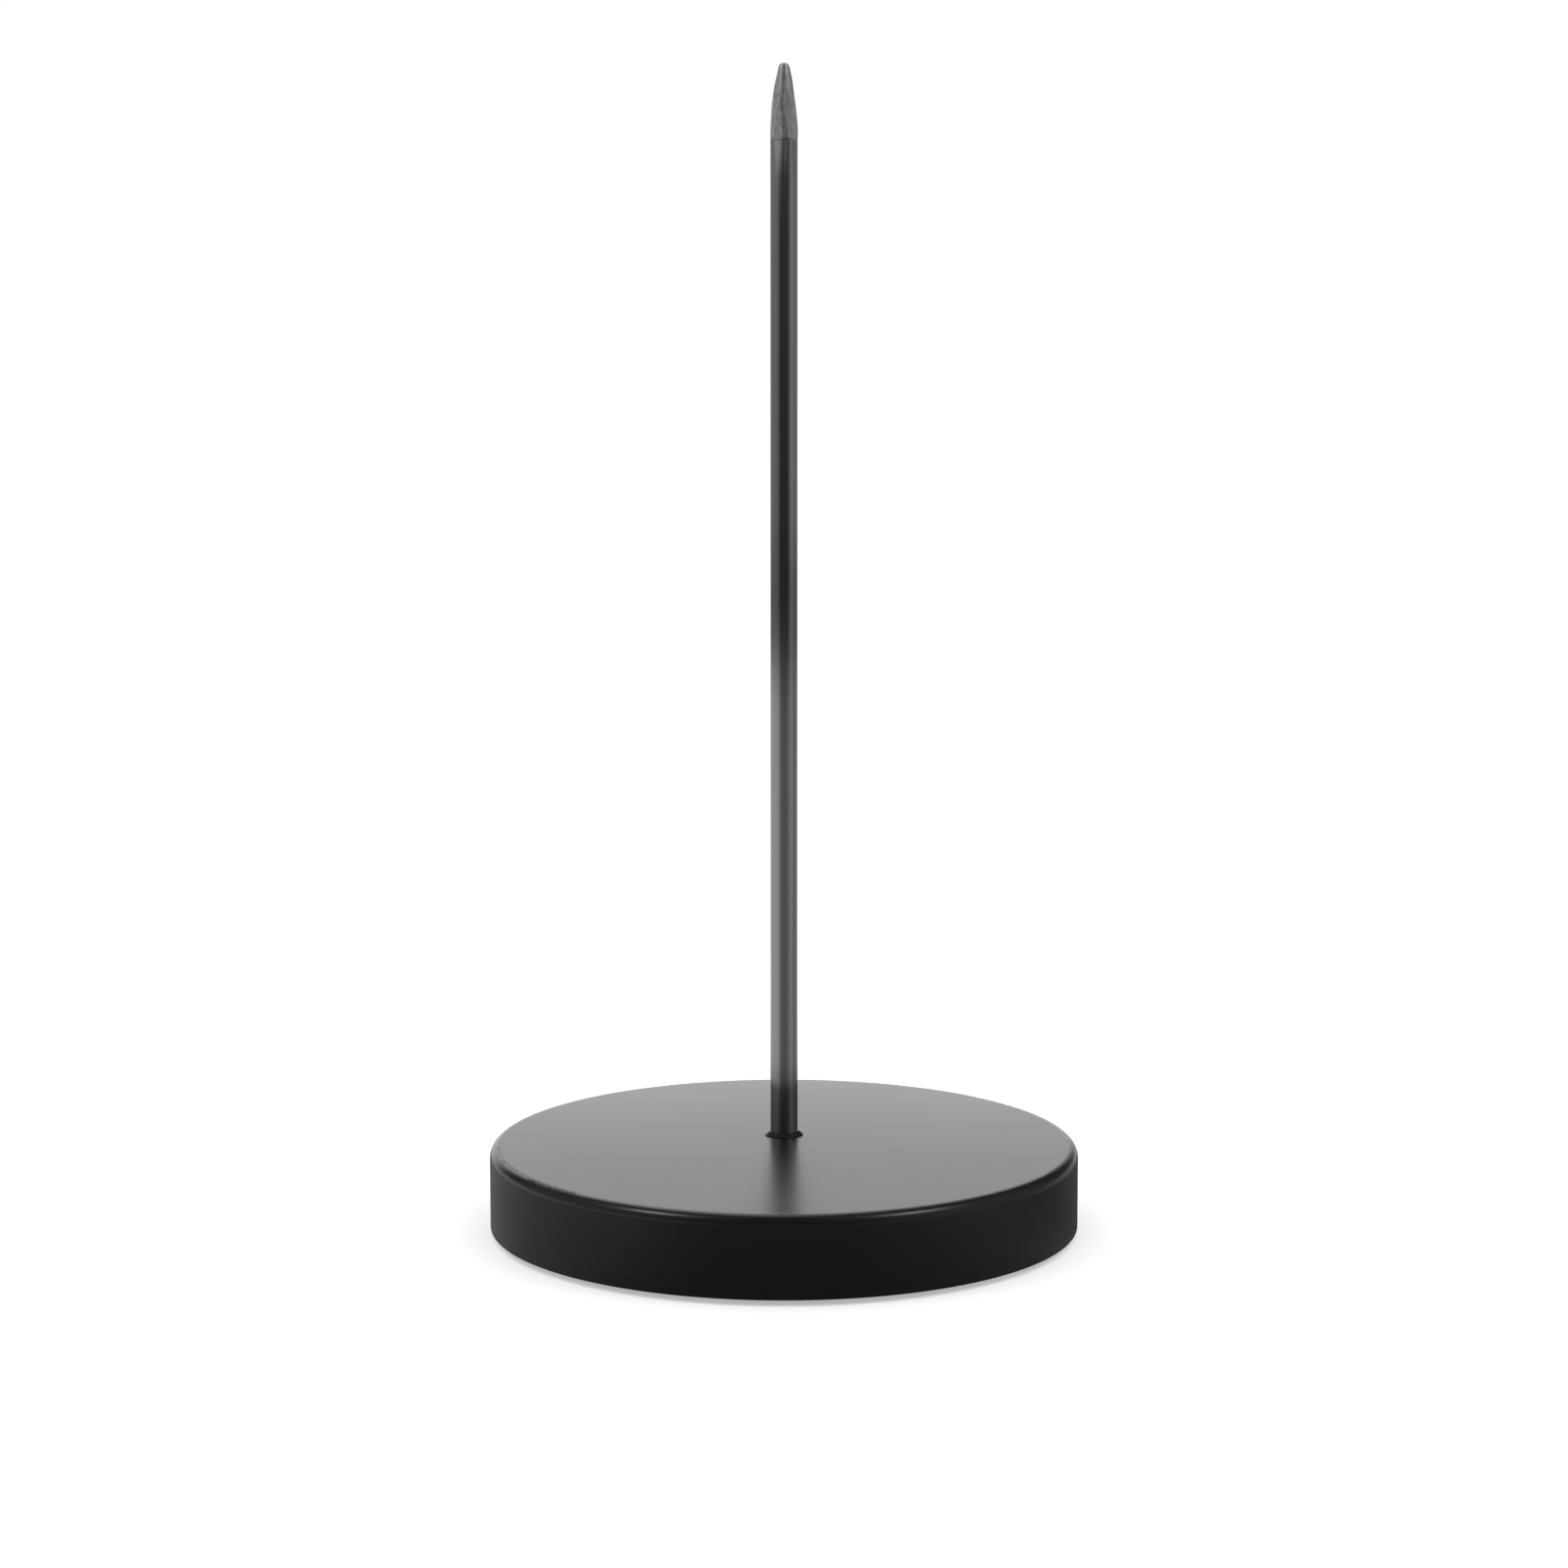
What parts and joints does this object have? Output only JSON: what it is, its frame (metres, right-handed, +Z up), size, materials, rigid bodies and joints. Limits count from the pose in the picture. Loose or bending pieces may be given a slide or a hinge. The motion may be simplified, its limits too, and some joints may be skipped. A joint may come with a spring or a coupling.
{
  "type": "bill spike",
  "caption": "Bill spike: a pointed polished steel rod standing on a round weighted black base with a crowned top, a rounded rim and a foam pad.",
  "frame": {"origin": "middle of the foam pad's underside, on the surface that the base stands on", "axes": "+Z up along the spike, from the base towards the point; the base is round, so +X and +Y are free"},
  "size_m": [0.08, 0.08, 0.1576],
  "materials": {
    "cover_black": "satin",
    "weight_steel": "satin",
    "spike_steel": "polished",
    "zinc_steel": "satin",
    "pad_foam": "matte"
  },
  "bodies": {
    "root": {"base_cover": "cover_black", "bottom_cover": "cover_black", "weight_plate": "weight_steel", "spike": "spike_steel", "flat_washer": "zinc_steel", "spring_washer": "zinc_steel", "hex_nut": "zinc_steel", "cover_screws": "zinc_steel", "anti_slip_pad": "pad_foam"}
  },
  "joints": []
}
